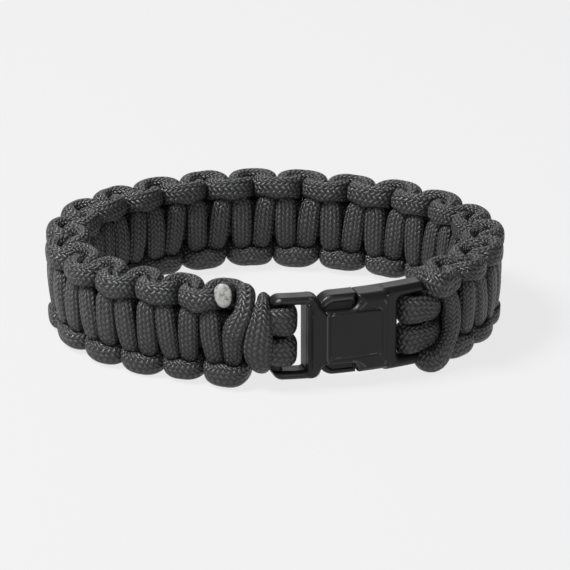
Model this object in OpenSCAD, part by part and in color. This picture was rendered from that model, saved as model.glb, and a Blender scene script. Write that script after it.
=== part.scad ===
// Paracord bracelet: two weaving cords knotted round a pair of core cords, and closed by
// a curved side-release buckle. The loop stands on its edge, +Z up, its buckle towards -Y.
// Places on the band are [along, across, out]: along the loop from the first leg of the
// weave, up across the band from its middle, and outwards from the middle of its thickness.

/* [Loop] */
// Mean radius of the loop, along the middle of the band
loop_r = 37; // [35:0.2:41]

/* [Weave] */
// Length of band that one half knot takes
knot_step = 4.9; // [4.6:0.1:5.6]
// Width of the woven band
band_w = 20.4; // [19:0.2:22]
// Thickness of the woven band
band_t = 8.8; // [8.4:0.2:10]
// Clearance between cords, and between a cord and what it wraps
cord_gap = 0.16; // [0.1:0.02:0.24]
// Thickness of a cord where it wraps a bar of the buckle
wrap_t = 2; // [1.8:0.1:2.4]
// Free height above and below the two cords in a slot of the buckle
wrap_room = 0.62; // [0.5:0.02:0.8]
// Length of band from the socket's bar to the first leg
lead_in = 6.8; // [6.6:0.1:7.6]
// Length of band from the last leg to the prong's bar
lead_out = 8.2; // [8:0.1:9]

/* [Buckle] */
// Radius of the buckle's curve, at the middle of its thickness
buckle_r = 66; // [50:1:90]
// Length of loop between the two bars that hold the cord
bar_span = 30.4; // [29.2:0.2:32]
// Diameter of each bar
bar_d = 2.2; // [2:0.1:2.6]
// Height of the frame round the prong's slot
frame_h = 16.6; // [16.2:0.1:17.6]
// Height of the beams above and below both cord slots
frame_beam = 1.4; // [1.3:0.1:1.6]
// Free width of both cord slots, from bar to body
slot_w = 4.4; // [4:0.1:4.8]
// Thickness of both frames
frame_t = 4.6; // [4:0.1:5.2]
// Distance that the frame stands past the housing, at its top and bottom
housing_inset = 0.2; // [0:0.05:0.4]
// Thickness of the socket's housing
housing_t = 6.6; // [6.2:0.1:7.4]
// Length of the thick part of the socket
housing_l = 13.6; // [13:0.1:14.2]
// Depth of the side windows, from the housing's top and bottom
window_d = 2.5; // [2.3:0.1:2.8]
// Length of the side windows
window_l = 6.7; // [6.2:0.1:7.2]
// Wall of the housing in front of and behind the prong
housing_wall = 1.4; // [1.2:0.1:1.6]
// Running clearance between prong and socket
prong_gap = 0.15; // [0.1:0.05:0.25]
// Height of the raised panel on the housing
panel_h = 9.4; // [8:0.1:9.8]
// Length of the raised panel on the housing
panel_l = 10.6; // [9:0.1:11]
// Height that the panel stands proud
panel_rise = 0.25; // [0.15:0.05:0.4]
// Height of the buckle's middle above the band's middle
buckle_rise = 0.2; // [0:0.1:0.3]

/* [Hidden] */

// Heights of the buckle that follow from its frame, and the cords that its slots take
housing_h = frame_h - 2 * housing_inset;
waist_h = housing_h - 2 * window_d;
slot_h = frame_h - 2 * frame_beam;
wrap_w = (slot_h - cord_gap) / 2 - wrap_room;

// Form of the loop: waves round it, then their cosine and sine as shares of loop_r
LOOP_FORM = [
    [2, 0.123, -0.019],
    [3, -0.008, 0.007],
    [4, 0.014, 0.011],
    [5, 0.007, 0],
];
// Direction of the buckle's middle, seen from above
BUCKLE_ANGLE = -64.5;
LOOP_STEPS = 360;
// How far hand-tied knots sit from even places: share of the weave, then distance along
KNOT_DRIFT = [
    [-0.018, 0],
    [0.08, -0.8],
    [0.23, -2],
    [0.41, 0],
    [0.67, 1.6],
    [0.80, 3.6],
    [0.87, 2.8],
    [0.95, 1.1],
    [1, 0.2],
    [1.02, 0],
];
// How far the knots lean: share of the weave, then distance along for each distance up
KNOT_LEAN = [
    [-0.018, 0],
    [0.01, -0.06],
    [0.99, -0.06],
    [1.02, 0],
];

// Each row below is a place on a cord: along in half knots, across in half widths of the
// band and out in half thicknesses, then how far the cord can spread, in the same shares

// A weaving cord from the middle of a leg to the crest of its turn
WEAVE = [
    [0.00, 0.00, 0.67, 0.48, 0.30, 0.325],
    [-0.10, 0.42, 0.60, 0.44, 0.27, 0.30],
    [-0.21, 0.64, 0.33, 0.32, 0.27, 0.36],
    [-0.25, 0.725, 0.00, 0.30, 0.275, 0.46],
    [-0.13, 0.745, -0.36, 0.34, 0.255, 0.40],
    [0.12, 0.74, -0.62, 0.42, 0.26, 0.33],
    [0.50, 0.71, -0.74, 0.50, 0.28, 0.29],
];
// The outer cord from the socket's bar, on the skin side, to its first leg
OUTER_START = [
    [-1.12, -0.32, -0.60, 0.24, 0.24, 0.26],
    [-0.86, -0.40, -0.92, 0.20, 0.19, 0.28],
    [-0.74, -0.70, -0.50, 0.20, 0.26, 0.40],
    [-0.80, -0.76, 0.08, 0.20, 0.24, 0.46],
    [-0.70, -0.69, 0.58, 0.22, 0.28, 0.36],
    [-0.30, -0.36, 0.72, 0.38, 0.28, 0.31],
];
// The inner cord from the socket's bar, on the skin side, to its first turn
INNER_START = [
    [-1.12, 0.32, -0.60, 0.24, 0.24, 0.26],
    [-0.86, 0.40, -0.92, 0.20, 0.19, 0.28],
    [-0.74, 0.69, -0.48, 0.20, 0.26, 0.40],
    [-0.78, 0.75, 0.14, 0.27, 0.25, 0.46],
    [-0.78, 0.76, 0.60, 0.36, 0.24, 0.30],
];
// The top of the outer cord's last leg, which no turn covers, from the last leg
OUTER_SWELL = [
    [0.30, 0.74, 0.04, 0.36, 0.26, 0.46],
    [0.12, 0.46, 0.62, 0.42, 0.30, 0.32],
];
// Cut end of the outer cord, on the skin side of the lower edge
OUTER_END = [
    [-0.10, -0.44, 0.58, 0.38, 0.27, 0.30],
    [-0.25, -0.725, 0.02, 0.30, 0.275, 0.46],
    [-0.12, -0.75, -0.52, 0.36, 0.25, 0.38],
    [-0.06, -0.75, -0.98, 0.36, 0.25, 0.38],
];
// Cut end of the inner cord, which points outwards at the upper edge
INNER_END = [
    [-0.10, 0.44, -0.58, 0.38, 0.27, 0.30],
    [-0.25, 0.725, -0.02, 0.30, 0.275, 0.46],
    [-0.30, 0.74, 0.46, 0.30, 0.22, 0.38],
    [-0.33, 0.73, 1.02, 0.29, 0.21, 0.38],
];
// A core cord from the socket's bar to the weave
CORE_START = [
    [-0.98, 0.26, 0.50, 0.30, 0.24, 0.26],
    [-0.55, 0.22, 0.10, 0.30, 0.20, 0.32],
];
// A core cord inside the weave
CORE = [0.00, 0.20, 0.00, 0.30, 0.19, 0.32];
// A core cord from the last leg to the prong's bar
CORE_END = [
    [0.60, 0.22, 0.00, 0.30, 0.20, 0.30],
    [1.02, 0.26, 0.10, 0.30, 0.24, 0.29],
    [1.42, 0.27, 0.49, 0.30, 0.25, 0.28],
];
// The cord's middle: from the prong's bar up the skin side and half-way down the outside
LARKS_HEAD = [
    [1.42, 0.32, -0.68, 0.26, 0.24, 0.28],
    [1.08, 0.47, -0.88, 0.20, 0.18, 0.28],
    [1.02, 0.60, -0.46, 0.18, 0.18, 0.38],
    [1.06, 0.63, 0.08, 0.20, 0.17, 0.46],
    [1.06, 0.52, 0.60, 0.34, 0.22, 0.34],
    [1.06, 0.28, 0.80, 0.52, 0.24, 0.33],
    [1.06, 0.00, 0.84, 0.56, 0.26, 0.32],
];

function total(list, i = 0) = i == len(list) ? 0 : list[i] + total(list, i + 1);
function unit(v) = v / norm(v);
function square_to(v, course) = unit(v - (v * course) * course);
function backwards(list) = [for (i = [len(list) - 1:-1:0]) list[i]];
function flipped(p) = [p[0], -p[1], p[2]];

// The loop seen from above, and the direction of the place at a distance round it
function loop_radius(a) =
    loop_r * (1 + total([for (row = LOOP_FORM) row[1] * cos(row[0] * a) + row[2] * sin(row[0] * a)]));
function loop_slope(a) =
    loop_r * total([for (row = LOOP_FORM) row[0] * (row[2] * cos(row[0] * a) - row[1] * sin(row[0] * a))]);
function loop_xy(a) = loop_radius(a) * [cos(a), sin(a)];
function loop_course(a) = unit(loop_slope(a) * [cos(a), sin(a)] + loop_radius(a) * [-sin(a), cos(a)]);
function outwards(course) = [course[1], -course[0]];
function offset_xy(a, out) = loop_xy(a) + outwards(loop_course(a)) * out;

LOOP_ANGLES = [for (i = [0:LOOP_STEPS]) BUCKLE_ANGLE + i * 360 / LOOP_STEPS];
LOOP_POINTS = [for (a = LOOP_ANGLES) loop_xy(a)];
LOOP_RUN = [for (i = 0, run = 0; i <= LOOP_STEPS; i = i + 1,
    run = run + (i > LOOP_STEPS ? 0 : norm(LOOP_POINTS[i] - LOOP_POINTS[i - 1]))) run];
ANGLE_AT = [for (i = [0:LOOP_STEPS]) [LOOP_RUN[i], LOOP_ANGLES[i]]];
loop_length = LOOP_RUN[LOOP_STEPS];
function angle_at(run) = lookup(run - loop_length * floor(run / loop_length), ANGLE_AT);

// The weave fills what the buckle and its leads leave, with an even number of legs
first_leg_at = bar_span / 2 + lead_in;
weave_l = loop_length - bar_span - lead_in - lead_out;
legs = 2 * round((weave_l / knot_step + 1) / 2);
last_leg = legs - 1;
pitch = weave_l / last_leg;
half_w = band_w / 2;
half_t = band_t / 2;

// The finished loop is centred on the origin and stands on its lower edge
OUTLINE = [for (a = LOOP_ANGLES) offset_xy(a, half_t)];
OUTLINE_X = [for (p = OUTLINE) p[0]];
OUTLINE_Y = [for (p = OUTLINE) p[1]];
loop_middle = [min(OUTLINE_X) + max(OUTLINE_X), min(OUTLINE_Y) + max(OUTLINE_Y)] / 2;
function tied_at(p) =
    let (share = p[0] / weave_l) p[0] + lookup(share, KNOT_DRIFT) + lookup(share, KNOT_LEAN) * p[1];
function on_loop(p) =
    let (xy = offset_xy(angle_at(first_leg_at + tied_at(p)), p[2]) - loop_middle) [xy[0], xy[1], p[1] + half_w];

// Places, and how far a cord can spread there, in band coordinates
function place(row, leg = 0) = [(leg + row[0]) * pitch, row[1] * half_w, row[2] * half_t];
function spread(row) = [row[3] * pitch, row[4] * half_w, row[5] * half_t];
function bead(row, leg = 0) = [place(row, leg), spread(row)];
function places(beads) = [for (b = beads) b[0]];

// A ring keeps the turn of the ring before it, so that a cord isn't twisted
SIDES = 7;
function courses(path) =
    [for (i = [0:len(path) - 1]) unit(path[min(i + 1, len(path) - 1)] - path[max(i - 1, 0)])];
function carried(start, ways) =
    [for (i = 0, out = square_to(start, ways[0]); i < len(ways); i = i + 1,
        out = i < len(ways) ? square_to(out, ways[i]) : out) out];

// Half-way to the nearest other cord is as far as a cord can spread, at place i of its path
// and half-way to the places before and after
function room(middles, way, others) =
    min([for (middle = middles, other = others) let (gap = other - middle, ahead = gap * way)
        ahead > 0 ? gap * gap / (2 * ahead) : band_w]) - cord_gap / 2;
function middles(path, i) =
    [for (step = [-0.5, 0, 0.5]) let (to = path[max(0, min(i + sign(step), len(path) - 1))])
        path[i] + (to - path[i]) * abs(step)];
function offsets(path, i, course, out, reach, others) =
    [for (side = [0:SIDES - 1])
        let (turn = 360 * side / SIDES, way = cos(turn) * out + sin(turn) * cross(course, out),
            free = 1 / norm([way[0] / reach[0], way[1] / reach[1], way[2] / reach[2]]))
        way * min(free, room(middles(path, i), way, others))];
// Rings for a row of beads. The places before and after give the first and last their course,
// and the turn comes from the weave that they leave, or go to if back is true.
function bead_rings(beads, before, after, start, others, back = false) =
    let (path = concat(before, places(beads), after), ways = courses(path), first = len(before),
        own = [for (i = [0:len(beads) - 1]) ways[first + i]],
        outs = back ? backwards(carried(start, backwards(own))) : carried(start, own))
    [for (i = [0:len(beads) - 1])
        [for (offset = offsets(path, first + i, own[i], outs[i], beads[i][1], near(others, beads[i][0])))
            beads[i][0] + offset]];

// Ring n of a weaving cord, counted from the middle of its first leg. Its layer is 1 where
// its legs lie outside, and -1 where they lie against the skin.
QUARTER = len(WEAVE) - 1;
RINGS = 2 * QUARTER;
function in_turn(n) = n - RINGS * floor(n / RINGS);
function weave_row(n) = WEAVE[min(in_turn(n), RINGS - in_turn(n))];
function rises(n) = floor(n / RINGS) % 2 == 0 ? 1 : -1;
function weave_place(n, layer) =
    let (leg = floor(n / RINGS), row = weave_row(n), past = in_turn(n) > QUARTER)
    [(past ? leg + 1 - row[0] : leg + row[0]) * pitch, layer * rises(n) * row[1] * half_w,
        layer * row[2] * half_t];
function weave_between(n, layer) =
    let (share = n - floor(n)) weave_place(floor(n), layer) * (1 - share) + weave_place(floor(n) + 1, layer) * share;

// The first turn, squeezed by all cords near it, serves for every turn
NEAR = 2.5 * RINGS;
function cords_near(n) = concat(
    [for (m = [-NEAR:0.5:NEAR + RINGS]) if (abs(m - n) > QUARTER) weave_between(m, 1)],
    [for (m = [-NEAR:0.5:NEAR + RINGS]) weave_between(m, -1)],
    [for (u = [-2:0.25:3], v = [-CORE[1], CORE[1]]) [u * pitch, v * half_w, 0]]);
TURN_PATH = [for (n = [-1:RINGS]) weave_place(n, 1)];
TURN_WAYS = [for (n = [1:RINGS]) unit(TURN_PATH[n + 1] - TURN_PATH[n - 1])];
TURN_OUTS = carried([0, 0, 1], TURN_WAYS);
TURN = [for (n = [0:RINGS - 1])
    offsets(TURN_PATH, n + 1, TURN_WAYS[n], TURN_OUTS[n], spread(weave_row(n)), cords_near(n))];
// A turn at the lower edge is one at the upper edge mirrored, so its sides count backwards
function weave_ring(n, layer) =
    let (up = rises(n))
    [for (side = [0:SIDES - 1]) let (offset = TURN[in_turn(n)][up > 0 ? side : (SIDES - side) % SIDES])
        weave_place(n, layer) + [offset[0], layer * up * offset[1], layer * offset[2]]];
function weave_out(n, layer) =
    let (out = TURN_OUTS[in_turn(n)]) [out[0], layer * rises(n) * out[1], layer * out[2]];

// The bars on the loop, and a cord's way round each, from the outside to the skin side
socket_bar = -lead_in;
prong_bar = weave_l + lead_out;
wrap_r = bar_d / 2 + cord_gap + wrap_t / 2;
wrap_across = wrap_w / 2 + cord_gap / 2;
WRAP_TURNS = [90:30:270];
function wrap(bar, towards) =
    [for (turn = WRAP_TURNS)
        [[bar - towards * wrap_r * cos(turn), wrap_across, wrap_r * sin(turn)], [wrap_t, wrap_w, wrap_t] / 2]];

// Half of the core cord, from the socket's bar to the middle of the lark's head
HALF_CORE = concat(
    backwards(wrap(socket_bar, -1)),
    [for (row = CORE_START) bead(row)],
    [for (leg = [0:last_leg]) bead(CORE, leg)],
    [for (row = CORE_END) bead(row, last_leg)],
    wrap(prong_bar, 1),
    [for (row = LARKS_HEAD) bead(row, last_leg)]);
LOWER_CORE = [for (i = [len(HALF_CORE) - 2:-1:0]) [flipped(HALF_CORE[i][0]), HALF_CORE[i][1]]];
CORE_BEADS = concat(HALF_CORE, LOWER_CORE);

// Beads of the cords' ends, and the rings of the weave between them
LAST_RING = RINGS * last_leg;
function lead(up, rows) =
    concat([[[socket_bar + cord_gap, up * wrap_across, -wrap_r], [wrap_t, wrap_w, wrap_t] / 2]],
        [for (row = rows) bead(row)]);
OUTER_LEAD = lead(-1, OUTER_START);
INNER_LEAD = lead(1, INNER_START);
SWELL = [for (row = OUTER_SWELL) bead(row, last_leg)];
OUTER_TAIL = [for (row = OUTER_END) bead(row, last_leg)];
INNER_TAIL = [for (row = INNER_END) bead(row, last_leg)];
OUTER_SPAN = [for (n = [0:LAST_RING - 1 - len(SWELL)]) n];
INNER_SPAN = [for (n = [-QUARTER:LAST_RING]) n];

// Where every cord runs, so that an end is squeezed by its neighbours too
function dense(path) = [for (i = [0:len(path) - 2], share = [0, 0.5]) path[i] * (1 - share) + path[i + 1] * share];
function near(paths, middle) =
    [for (path = paths, p = path) if (abs(p[0] - middle[0]) < 2.5 * pitch) p];
OUTER_RUN = [for (n = OUTER_SPAN) weave_place(n, 1)];
INNER_RUN = [for (n = INNER_SPAN) weave_place(n, -1)];
OUTER_LAST = weave_place(LAST_RING, 1);
OUTER_PATH = dense(concat(places(OUTER_LEAD), OUTER_RUN, places(SWELL), [OUTER_LAST], places(OUTER_TAIL)));
INNER_PATH = dense(concat(places(INNER_LEAD), INNER_RUN, places(INNER_TAIL)));
CORE_PATH = dense(places(CORE_BEADS));
OUTER_FAR = [for (n = [RINGS:LAST_RING - RINGS]) weave_place(n, 1)];
INNER_FAR = [for (n = [RINGS:LAST_RING - RINGS]) weave_place(n, -1)];

OUTER_RINGS = concat(
    bead_rings(OUTER_LEAD, [[socket_bar - cord_gap, -wrap_across, -wrap_r]], [OUTER_RUN[0]],
        weave_out(0, 1), [INNER_PATH, CORE_PATH, OUTER_FAR], true),
    [for (n = OUTER_SPAN) weave_ring(n, 1)],
    bead_rings(SWELL, [OUTER_RUN[len(OUTER_RUN) - 1]], [OUTER_LAST],
        weave_out(LAST_RING, 1), [INNER_PATH, CORE_PATH], true),
    [weave_ring(LAST_RING, 1)],
    bead_rings(OUTER_TAIL, [OUTER_LAST], [], weave_out(LAST_RING, 1), [INNER_PATH, CORE_PATH, OUTER_FAR]));
INNER_RINGS = concat(
    bead_rings(INNER_LEAD, [[socket_bar - cord_gap, wrap_across, -wrap_r]], [INNER_RUN[0]],
        weave_out(-QUARTER, -1), [OUTER_PATH, CORE_PATH, INNER_FAR], true),
    [for (n = INNER_SPAN) weave_ring(n, -1)],
    bead_rings(INNER_TAIL, [INNER_RUN[len(INNER_RUN) - 1]], [], weave_out(LAST_RING, -1),
        [OUTER_PATH, CORE_PATH, INNER_FAR]));
CORE_ENTRY = [socket_bar + wrap_r * sin(30), wrap_across, -wrap_r * cos(30)];
CORE_RINGS = bead_rings(CORE_BEADS, [CORE_ENTRY], [flipped(CORE_ENTRY)], [0, 1, 0], [OUTER_PATH, INNER_PATH]);

module cord(rings) {
    last = len(rings) - 1;
    points = [for (ring = rings, p = ring) on_loop(p)];
    sides = [for (i = [0:last - 1], side = [0:SIDES - 1])
        let (a = i * SIDES + side, b = i * SIDES + (side + 1) % SIDES)
        each [[a, a + SIDES, b + SIDES], [a, b + SIDES, b]]];
    first_face = [for (side = [0:SIDES - 1]) side];
    last_face = [for (side = [SIDES - 1:-1:0]) last * SIDES + side];
    polyhedron(points, concat([first_face, last_face], sides), convexity = 20);
}

module core_cord() {
    color([0.21, 0.21, 0.22]) cord(CORE_RINGS);
}

module outer_weave_cord() {
    color([0.24, 0.24, 0.25]) cord(OUTER_RINGS);
}

module inner_weave_cord() {
    color([0.27, 0.27, 0.28]) cord(INNER_RINGS);
}

// The buckle's own frame: its origin is the centre of its curve, at the band's mid height,
// with X from the prong's bar to the socket's and the wearer's side towards +Y
PRONG_BAR = on_loop([prong_bar, 0, 0]);
SOCKET_BAR = on_loop([socket_bar, 0, 0]);
bar_chord = norm(SOCKET_BAR - PRONG_BAR);
buckle_course = (SOCKET_BAR - PRONG_BAR) / bar_chord;
bar_x = bar_chord / 2;
bar_y = -sqrt(buckle_r * buckle_r - bar_x * bar_x);
buckle_centre = (SOCKET_BAR + PRONG_BAR) / 2 + bar_y * [buckle_course[1], -buckle_course[0], 0];
buckle_turn = atan2(buckle_course[1], buckle_course[0]);
CURVE_FN = 96;
ARC_STEPS = 6;
end_r = 1;
housing_corner_r = 0.8;
panel_r = 1;

// Places along the buckle, from its middle towards the socket
frame_rim = 1.4;
frame_step = 0.15;
slot_edge = bar_x - bar_d / 2 - slot_w;
housing_end = slot_edge - frame_rim;
mouth_x = housing_end - housing_l;
window_end = mouth_x + window_l;
cavity_end = housing_end - frame_rim;
frame_end = bar_x + bar_d / 2;
shoulder_r = 1.8;
shoulder_step = 0.1;
neck_r = (frame_h - waist_h) / 2 - shoulder_r - shoulder_step;
shoulder_x = mouth_x - prong_gap - neck_r;
prong_t = housing_t - 2 * housing_wall - 2 * prong_gap;
pad_t = housing_t - 1;
pad_bulge = 1.2;
pad_start = mouth_x - 1;
pad_end = window_end - prong_gap;
pad_top = housing_h / 2 + 0.1;
cheek = 1.3;
spine_room = 2;
panel_start = mouth_x + 0.7;

// A curved wall between two distances from the middle of the buckle's thickness
module curved(inside, outside) {
    difference() {
        translate([0, 0, -frame_h]) cylinder(h = 2 * frame_h, r = buckle_r + outside, $fn = CURVE_FN);
        translate([0, 0, -2 * frame_h]) cylinder(h = 4 * frame_h, r = buckle_r + inside, $fn = CURVE_FN);
    }
}

// An outline seen from outside, along X and up Z, cut through a curved wall
module moulded(inside, outside) {
    intersection() {
        curved(inside, outside);
        rotate([90, 0, 0]) linear_extrude(2 * buckle_r) children();
    }
}

function arc(middle, r, from, to) =
    [for (i = [0:ARC_STEPS]) let (turn = from + (to - from) * i / ARC_STEPS) middle + r * [cos(turn), sin(turn)]];

module block(x0, x1, height) {
    translate([x0, -height / 2]) square([x1 - x0, height]);
}

module rounded_block(x0, x1, height, r) {
    block(x0 + r, x1 - r, height);
    block(x0, x1, height - 2 * r);
    for (x = [x0 + r, x1 - r], up = [-1, 1])
        translate([x, up * (height / 2 - r)]) circle(r, $fn = 32);
}

module bar(x) {
    translate([x, bar_y, -(slot_h + end_r) / 2]) cylinder(h = slot_h + end_r, d = bar_d, $fn = 32);
}

// An outline given by its upper half, with the lower half its mirror image
module twin_outline(upper) {
    polygon(concat(upper, [for (p = backwards(upper)) [p[0], -p[1]]]));
}

module prong_outline() {
    top = frame_h / 2;
    twin_outline(concat(
        [[-slot_edge, slot_h / 2], [-frame_end, slot_h / 2]],
        arc([-frame_end + end_r, top - end_r], end_r, 180, 90),
        arc([shoulder_x - shoulder_r, top - shoulder_r], shoulder_r, 90, 0),
        arc([shoulder_x + neck_r, waist_h / 2 + neck_r], neck_r, 180, 270)));
}

// Finger pad that shows in a side window
module pad_outline() {
    half = (pad_end - pad_start) / 2;
    arc_r = (half * half + pad_bulge * pad_bulge) / (2 * pad_bulge);
    intersection() {
        translate([pad_start, waist_h / 2 + prong_gap]) square([2 * half, housing_h]);
        translate([pad_start + half, pad_top - arc_r]) circle(arc_r, $fn = CURVE_FN);
    }
}

module arm_outline() {
    arm_h = 1.6;
    translate([shoulder_x, waist_h / 2 - arm_h]) square([cavity_end - 1 - shoulder_x, arm_h]);
    translate([pad_start + 1, waist_h / 2 - arm_h]) square([pad_end - pad_start - 1, 2 * arm_h]);
}

module placed_buckle() {
    translate([buckle_centre[0], buckle_centre[1], half_w + buckle_rise]) rotate([0, 0, buckle_turn]) children();
}

module buckle_prong() {
    color([0.11, 0.11, 0.12]) placed_buckle() {
        moulded(-frame_t / 2, frame_t / 2) prong_outline();
        moulded(-pad_t / 2, pad_t / 2) for (up = [0, 1]) mirror([0, up]) pad_outline();
        moulded(-prong_t / 2, prong_t / 2) {
            for (up = [0, 1]) mirror([0, up]) arm_outline();
            block(shoulder_x, cavity_end - spine_room, 2 * cheek);
        }
        bar(-bar_x);
    }
}

module housing_outline() {
    difference() {
        rounded_block(mouth_x, housing_end, housing_h, housing_corner_r);
        for (up = [0, 1]) mirror([0, up])
            translate([mouth_x - 1, waist_h / 2]) square([window_l + 1, housing_h]);
    }
}

module socket_frame_outline() {
    top = housing_h / 2 - frame_step;
    twin_outline(concat(
        [[slot_edge, slot_h / 2], [frame_end, slot_h / 2]],
        arc([frame_end - end_r, top - end_r], end_r, 0, 90),
        [[housing_end - frame_rim / 2, top]]));
}

module buckle_socket() {
    color([0.13, 0.13, 0.14]) placed_buckle() {
        difference() {
            moulded(-housing_t / 2, housing_t / 2) housing_outline();
            moulded(housing_wall - housing_t / 2, housing_t / 2 - housing_wall)
                block(mouth_x - 1, cavity_end, housing_h - 2 * cheek);
        }
        moulded(-frame_t / 2, frame_t / 2) socket_frame_outline();
        moulded(housing_t / 2 - housing_wall / 2, housing_t / 2 + panel_rise)
            rounded_block(panel_start, panel_start + panel_l, panel_h, panel_r);
        bar(bar_x);
    }
}

core_cord();
outer_weave_cord();
inner_weave_cord();
buckle_prong();
buckle_socket();
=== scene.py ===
import math

import bpy
import numpy as np
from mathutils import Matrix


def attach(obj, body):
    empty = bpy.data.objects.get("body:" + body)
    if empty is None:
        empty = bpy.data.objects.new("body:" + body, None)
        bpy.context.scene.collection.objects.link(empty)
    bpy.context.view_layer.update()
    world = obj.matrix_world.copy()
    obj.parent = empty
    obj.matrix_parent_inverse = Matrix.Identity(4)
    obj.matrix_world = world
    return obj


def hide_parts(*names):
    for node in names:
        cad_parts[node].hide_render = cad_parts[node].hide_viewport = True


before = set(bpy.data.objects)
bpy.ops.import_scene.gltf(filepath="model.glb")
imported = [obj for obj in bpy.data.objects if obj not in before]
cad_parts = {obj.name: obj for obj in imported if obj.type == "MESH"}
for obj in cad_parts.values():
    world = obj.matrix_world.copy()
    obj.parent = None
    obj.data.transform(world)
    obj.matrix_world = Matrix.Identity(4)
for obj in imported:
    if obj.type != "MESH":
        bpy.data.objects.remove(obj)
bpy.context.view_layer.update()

# The place of the bracelet: a photographer's light table. The floor is a plain pale sheet lit
# from below, so hardly any shadow falls on it, and the camera is a long lens that looks down
# on the bracelet from its front.
MM = 0.001
IMAGE_SIDE = 570
SENSOR = 36.0
LENS_PIXELS = 4387.0
CAMERA_AWAY = 887.0
CAMERA_UP = 21.5
CAMERA_AIM = (2.07, -2.25, 9.12)

camera_data = bpy.data.cameras.new("long_lens")
camera_data.sensor_width = SENSOR
camera_data.lens = LENS_PIXELS * SENSOR / IMAGE_SIDE
camera_data.clip_end = 20.0
camera = bpy.data.objects.new("camera", camera_data)
bpy.context.collection.objects.link(camera)
camera.location = [
    CAMERA_AIM[0] * MM,
    (CAMERA_AIM[1] - CAMERA_AWAY * math.cos(math.radians(CAMERA_UP))) * MM,
    (CAMERA_AIM[2] + CAMERA_AWAY * math.sin(math.radians(CAMERA_UP))) * MM,
]
camera.rotation_euler = (math.radians(90 - CAMERA_UP), 0, 0)
bpy.context.scene.camera = camera
bpy.context.scene.view_settings.view_transform = "Standard"


def colour(hex_value):
    """An sRGB hex colour as the linear values that a shader takes."""
    shares = [int(hex_value[i:i + 2], 16) / 255 for i in (1, 3, 5)]
    linear = [s / 12.92 if s <= 0.04045 else ((s + 0.055) / 1.055) ** 2.4 for s in shares]
    return (*linear, 1.0)


def add(material, kind, links=(), **settings):
    """Adds a node, sets its properties and inputs, and links sockets into it. A setting names an
    input with _ for each space, or by its place, as in _1."""
    node = material.node_tree.nodes.new(kind)
    for name, value in settings.items():
        if hasattr(node, name):
            setattr(node, name, value)
        else:
            place = int(name[1:]) if name[1:].isdigit() else name.replace("_", " ")
            node.inputs[place].default_value = value
    for place, socket in dict(links).items():
        material.node_tree.links.new(socket, node.inputs[place])
    return node


def new_material(name):
    material = bpy.data.materials.new(name)
    material.use_nodes = True
    material.node_tree.nodes.clear()
    return material


# The sheet of the light table: matt acrylic, lit from below. It glows, and takes a faint shadow.
HALF_FLOOR = 3.0
SHEET_GLOW = 0.963
SHADOW_SHARE = 0.07
sheet_acrylic = new_material("matt_acrylic_light_table")
glow = add(sheet_acrylic, "ShaderNodeEmission", Color=colour("#f0f0f0"), Strength=SHEET_GLOW)
matt = add(sheet_acrylic, "ShaderNodeBsdfDiffuse", Color=colour("#f0f0f0"))
both = add(
    sheet_acrylic, "ShaderNodeMixShader", {1: glow.outputs[0], 2: matt.outputs[0]}, Fac=SHADOW_SHARE,
)
add(sheet_acrylic, "ShaderNodeOutputMaterial", {0: both.outputs[0]})
floor_mesh = bpy.data.meshes.new("floor")
floor_corners = [(HALF_FLOOR * x, HALF_FLOOR * y, 0) for x, y in ((-1, -1), (1, -1), (1, 1), (-1, 1))]
floor_mesh.from_pydata(floor_corners, [], [(0, 1, 2, 3)])
floor_mesh.materials.append(sheet_acrylic)
floor = bpy.data.objects.new("floor", floor_mesh)
bpy.context.collection.objects.link(floor)

# The light of the room, and three softboxes that face the bracelet, placed in metres
ROOM_LIGHT = 0.17
LIT_PLACE = (0, 0, 0.01)
world = bpy.data.worlds.new("studio")
world.use_nodes = True
bpy.context.scene.world = world
world.node_tree.nodes["Background"].inputs[0].default_value = colour("#f0f0f0")
world.node_tree.nodes["Background"].inputs[1].default_value = ROOM_LIGHT


def softbox(name, place, side, power):
    """A square soft light that faces the bracelet."""
    data = bpy.data.lights.new(name, "AREA")
    data.shape = "SQUARE"
    data.size = side
    data.energy = power
    lamp = bpy.data.objects.new(name, data)
    bpy.context.collection.objects.link(lamp)
    lamp.location = place
    away = np.array(place) - np.array(LIT_PLACE)
    tilt = math.acos(away[2] / np.linalg.norm(away))
    lamp.rotation_euler = (tilt, 0, math.atan2(away[1], away[0]) + math.pi / 2)


softbox("left_softbox", place=(-0.5, -0.1, 0.75), side=0.3, power=14.5)
softbox("front_softbox", place=(0.3, -1.1, 0.6), side=0.6, power=3.6)
softbox("back_softbox", place=(-0.1, 1.2, 0.5), side=0.7, power=2.6)


# The band: two cords tied round a pair of core cords in a cobra weave. It follows a loop that
# is a little flattened, and places on it are along the band from its first leg, up across it,
# and outwards from the middle of its thickness, all in millimetres.
LOOP_R = 37.0
LOOP_FORM = ((2, 0.123, -0.019), (3, -0.008, 0.007), (4, 0.014, 0.011), (5, 0.007, 0.0))
BUCKLE_ANGLE = -64.5
BAND_W = 20.4
BAND_T = 8.8
KNOT_STEP = 4.9
BAR_SPAN = 30.4
LEAD_IN = 6.8
LEAD_OUT = 8.2
HALF_W = BAND_W / 2
HALF_T = BAND_T / 2


def loop_point(angle, out):
    """A point of the loop seen from above, moved outwards."""
    angle = np.radians(angle)
    cos, sin = np.cos(angle), np.sin(angle)
    radius = LOOP_R * (1 + sum(c * np.cos(k * angle) + s * np.sin(k * angle) for k, c, s in LOOP_FORM))
    slope = LOOP_R * sum(k * (s * np.cos(k * angle) - c * np.sin(k * angle)) for k, c, s in LOOP_FORM)
    course = np.stack([slope * cos - radius * sin, slope * sin + radius * cos])
    course /= np.linalg.norm(course, axis=0)
    return np.stack([radius * cos + course[1] * out, radius * sin - course[0] * out], -1)


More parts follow.
